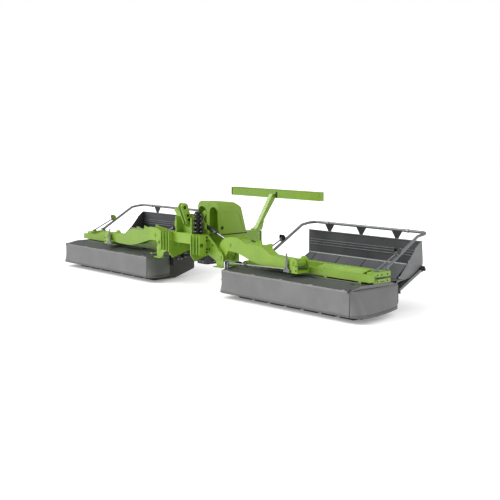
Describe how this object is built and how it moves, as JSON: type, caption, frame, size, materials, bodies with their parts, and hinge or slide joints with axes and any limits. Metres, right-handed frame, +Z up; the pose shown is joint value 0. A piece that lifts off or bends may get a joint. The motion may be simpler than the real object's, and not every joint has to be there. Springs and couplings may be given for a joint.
{
  "type": "disc mower",
  "caption": "Rear-mounted folding disc mower: two mowing units with conveyor belts on a three-point headstock.",
  "frame": {"origin": "on the ground, in the middle of the overall length and width", "axes": "+X is the driver's left, +Y is rearward, +Z is up"},
  "size_m": [9.26, 2.625, 1.884],
  "materials": {
    "green_paint": "satin",
    "plated_steel": "satin",
    "dark_casting": "matte",
    "black_plastic": "matte",
    "lamp_plastic": "gloss",
    "black_paint": "satin",
    "dark_cover": "matte",
    "grey_curtain": "matte",
    "belt_rubber": "matte",
    "grey_tube": "satin"
  },
  "bodies": {
    "headstock": {"headstock_frame": "green_paint", "top_link_arm": "green_paint", "hitch_brackets": "green_paint", "wing_plates": "green_paint", "hinge_pins": "plated_steel", "main_gearbox": "dark_casting", "pto_guard": "black_plastic", "hood": "green_paint", "hydraulic_block": "black_plastic", "light_mast": "green_paint", "light_bar": "green_paint", "tail_lamps": "lamp_plastic"},
    "pto_shaft": {"pto_shaft": "plated_steel"},
    "parking_leg": {"parking_leg": "plated_steel"},
    "left_arm": {"left_arm": "green_paint"},
    "left_lift_barrel": {"left_lift_barrel": "black_paint"},
    "left_lift_rod": {"left_lift_rod": "plated_steel"},
    "left_drive_shaft": {"left_drive_shaft": "black_plastic"},
    "left_unit": {"left_unit_frame": "green_paint", "left_deck": "dark_cover", "left_side_skirts": "grey_curtain", "left_cutterbar": "dark_casting", "left_unit_gearbox": "dark_casting", "left_rear_guard": "dark_cover", "left_conveyor_belt": "belt_rubber", "left_belt_rollers": "plated_steel", "left_collector_walls": "dark_cover", "left_guard_hoop": "grey_tube"},
    "left_front_apron": {"left_front_apron": "grey_curtain"},
    "left_rotor": {"left_rotor": "dark_casting"},
    "left_disc_1": {"left_disc_1": "dark_casting"},
    "left_disc_2": {"left_disc_2": "dark_casting"},
    "left_disc_3": {"left_disc_3": "dark_casting"},
    "left_disc_4": {"left_disc_4": "dark_casting"},
    "left_disc_5": {"left_disc_5": "dark_casting"},
    "left_disc_6": {"left_disc_6": "dark_casting"},
    "left_disc_7": {"left_disc_7": "dark_casting"},
    "right_arm": {"right_arm": "green_paint"},
    "right_lift_barrel": {"right_lift_barrel": "black_paint"},
    "right_lift_rod": {"right_lift_rod": "plated_steel"},
    "right_drive_shaft": {"right_drive_shaft": "black_plastic"},
    "right_unit": {"right_unit_frame": "green_paint", "right_deck": "dark_cover", "right_side_skirts": "grey_curtain", "right_cutterbar": "dark_casting", "right_unit_gearbox": "dark_casting", "right_rear_guard": "dark_cover", "right_conveyor_belt": "belt_rubber", "right_belt_rollers": "plated_steel", "right_collector_walls": "dark_cover", "right_guard_hoop": "grey_tube"},
    "right_front_apron": {"right_front_apron": "grey_curtain"},
    "right_rotor": {"right_rotor": "dark_casting"},
    "right_disc_1": {"right_disc_1": "dark_casting"},
    "right_disc_2": {"right_disc_2": "dark_casting"},
    "right_disc_3": {"right_disc_3": "dark_casting"},
    "right_disc_4": {"right_disc_4": "dark_casting"},
    "right_disc_5": {"right_disc_5": "dark_casting"},
    "right_disc_6": {"right_disc_6": "dark_casting"},
    "right_disc_7": {"right_disc_7": "dark_casting"}
  },
  "joints": [
    {"name": "pto_spin", "type": "hinge", "parent": "headstock", "child": "pto_shaft", "pos_m": [0, -0.805, 0.64], "axis": [0, -1, 0], "continuous": true},
    {"name": "parking_leg_slide", "type": "slide", "parent": "headstock", "child": "parking_leg", "axis": [0, 0, 1], "range_m": [0, 0.4]},
    {"name": "left_fold", "type": "hinge", "parent": "headstock", "child": "left_arm", "pos_m": [0.96, -0.885, 0.73], "axis": [0, -1, 0], "range_deg": [-6, 88]},
    {"name": "left_lift_barrel_pivot", "type": "hinge", "parent": "headstock", "child": "left_lift_barrel", "pos_m": [0.1, -0.885, 1.364], "axis": [0, -1, 0], "range_deg": [-16, 3]},
    {"name": "left_lift_rod_slide", "type": "slide", "parent": "left_lift_barrel", "child": "left_lift_rod", "axis": [0.9445, 0, -0.3284], "range_m": [-0.44, 0.04]},
    {"name": "left_drive_shaft_swing", "type": "hinge", "parent": "headstock", "child": "left_drive_shaft", "pos_m": [0.2763, -0.485, 0.62], "axis": [0, -1, 0], "range_deg": [-3, 20]},
    {"name": "left_tilt", "type": "hinge", "parent": "left_arm", "child": "left_unit", "pos_m": [2.91, -0.885, 0.825], "axis": [0, -1, 0], "range_deg": [-5, 5]},
    {"name": "left_apron_lift", "type": "hinge", "parent": "left_unit", "child": "left_front_apron", "pos_m": [2.8, -1.201, 0.543], "axis": [-1, 0, 0], "range_deg": [0, 90]},
    {"name": "left_rotor_spin", "type": "hinge", "parent": "left_unit", "child": "left_rotor", "pos_m": [2.8, -0.085, 0.31], "axis": [1, 0, 0], "continuous": true},
    {"name": "left_disc_1_spin", "type": "hinge", "parent": "left_unit", "child": "left_disc_1", "pos_m": [1.525, -0.705, 0.1], "axis": [0, 0, 1], "continuous": true},
    {"name": "left_disc_2_spin", "type": "hinge", "parent": "left_unit", "child": "left_disc_2", "pos_m": [1.95, -0.705, 0.1], "axis": [0, 0, 1], "continuous": true},
    {"name": "left_disc_3_spin", "type": "hinge", "parent": "left_unit", "child": "left_disc_3", "pos_m": [2.375, -0.705, 0.1], "axis": [0, 0, 1], "continuous": true},
    {"name": "left_disc_4_spin", "type": "hinge", "parent": "left_unit", "child": "left_disc_4", "pos_m": [2.8, -0.705, 0.1], "axis": [0, 0, 1], "continuous": true},
    {"name": "left_disc_5_spin", "type": "hinge", "parent": "left_unit", "child": "left_disc_5", "pos_m": [3.225, -0.705, 0.1], "axis": [0, 0, 1], "continuous": true},
    {"name": "left_disc_6_spin", "type": "hinge", "parent": "left_unit", "child": "left_disc_6", "pos_m": [3.65, -0.705, 0.1], "axis": [0, 0, 1], "continuous": true},
    {"name": "left_disc_7_spin", "type": "hinge", "parent": "left_unit", "child": "left_disc_7", "pos_m": [4.075, -0.705, 0.1], "axis": [0, 0, 1], "continuous": true},
    {"name": "right_fold", "type": "hinge", "parent": "headstock", "child": "right_arm", "pos_m": [-0.96, -0.885, 0.73], "axis": [0, 1, 0], "range_deg": [-6, 88]},
    {"name": "right_lift_barrel_pivot", "type": "hinge", "parent": "headstock", "child": "right_lift_barrel", "pos_m": [-0.1, -0.885, 1.364], "axis": [0, 1, 0], "range_deg": [-16, 3]},
    {"name": "right_lift_rod_slide", "type": "slide", "parent": "right_lift_barrel", "child": "right_lift_rod", "axis": [-0.9445, 0, -0.3284], "range_m": [-0.44, 0.04]},
    {"name": "right_drive_shaft_swing", "type": "hinge", "parent": "headstock", "child": "right_drive_shaft", "pos_m": [-0.2763, -0.485, 0.62], "axis": [0, 1, 0], "range_deg": [-3, 20]},
    {"name": "right_tilt", "type": "hinge", "parent": "right_arm", "child": "right_unit", "pos_m": [-2.91, -0.885, 0.825], "axis": [0, 1, 0], "range_deg": [-5, 5]},
    {"name": "right_apron_lift", "type": "hinge", "parent": "right_unit", "child": "right_front_apron", "pos_m": [-2.8, -1.201, 0.543], "axis": [-1, 0, 0], "range_deg": [0, 90]},
    {"name": "right_rotor_spin", "type": "hinge", "parent": "right_unit", "child": "right_rotor", "pos_m": [-2.8, -0.085, 0.31], "axis": [1, 0, 0], "continuous": true},
    {"name": "right_disc_1_spin", "type": "hinge", "parent": "right_unit", "child": "right_disc_1", "pos_m": [-1.525, -0.705, 0.1], "axis": [0, 0, 1], "continuous": true},
    {"name": "right_disc_2_spin", "type": "hinge", "parent": "right_unit", "child": "right_disc_2", "pos_m": [-1.95, -0.705, 0.1], "axis": [0, 0, 1], "continuous": true},
    {"name": "right_disc_3_spin", "type": "hinge", "parent": "right_unit", "child": "right_disc_3", "pos_m": [-2.375, -0.705, 0.1], "axis": [0, 0, 1], "continuous": true},
    {"name": "right_disc_4_spin", "type": "hinge", "parent": "right_unit", "child": "right_disc_4", "pos_m": [-2.8, -0.705, 0.1], "axis": [0, 0, 1], "continuous": true},
    {"name": "right_disc_5_spin", "type": "hinge", "parent": "right_unit", "child": "right_disc_5", "pos_m": [-3.225, -0.705, 0.1], "axis": [0, 0, 1], "continuous": true},
    {"name": "right_disc_6_spin", "type": "hinge", "parent": "right_unit", "child": "right_disc_6", "pos_m": [-3.65, -0.705, 0.1], "axis": [0, 0, 1], "continuous": true},
    {"name": "right_disc_7_spin", "type": "hinge", "parent": "right_unit", "child": "right_disc_7", "pos_m": [-4.075, -0.705, 0.1], "axis": [0, 0, 1], "continuous": true}
  ],
  "couplings": [
    {"joint": "left_lift_barrel_pivot", "follows": "left_fold", "ratio": -0.15491},
    {"joint": "left_lift_rod_slide", "follows": "left_fold", "m_per_rad": -0.27638},
    {"joint": "left_drive_shaft_swing", "follows": "left_fold", "ratio": 0.21},
    {"joint": "left_disc_2_spin", "follows": "left_disc_1_spin", "ratio": -1},
    {"joint": "left_disc_3_spin", "follows": "left_disc_1_spin", "ratio": 1},
    {"joint": "left_disc_4_spin", "follows": "left_disc_1_spin", "ratio": -1},
    {"joint": "left_disc_5_spin", "follows": "left_disc_1_spin", "ratio": 1},
    {"joint": "left_disc_6_spin", "follows": "left_disc_1_spin", "ratio": -1},
    {"joint": "left_disc_7_spin", "follows": "left_disc_1_spin", "ratio": 1},
    {"joint": "right_lift_barrel_pivot", "follows": "right_fold", "ratio": -0.15491},
    {"joint": "right_lift_rod_slide", "follows": "right_fold", "m_per_rad": -0.27638},
    {"joint": "right_drive_shaft_swing", "follows": "right_fold", "ratio": 0.21},
    {"joint": "right_disc_2_spin", "follows": "right_disc_1_spin", "ratio": -1},
    {"joint": "right_disc_3_spin", "follows": "right_disc_1_spin", "ratio": 1},
    {"joint": "right_disc_4_spin", "follows": "right_disc_1_spin", "ratio": -1},
    {"joint": "right_disc_5_spin", "follows": "right_disc_1_spin", "ratio": 1},
    {"joint": "right_disc_6_spin", "follows": "right_disc_1_spin", "ratio": -1},
    {"joint": "right_disc_7_spin", "follows": "right_disc_1_spin", "ratio": 1}
  ]
}
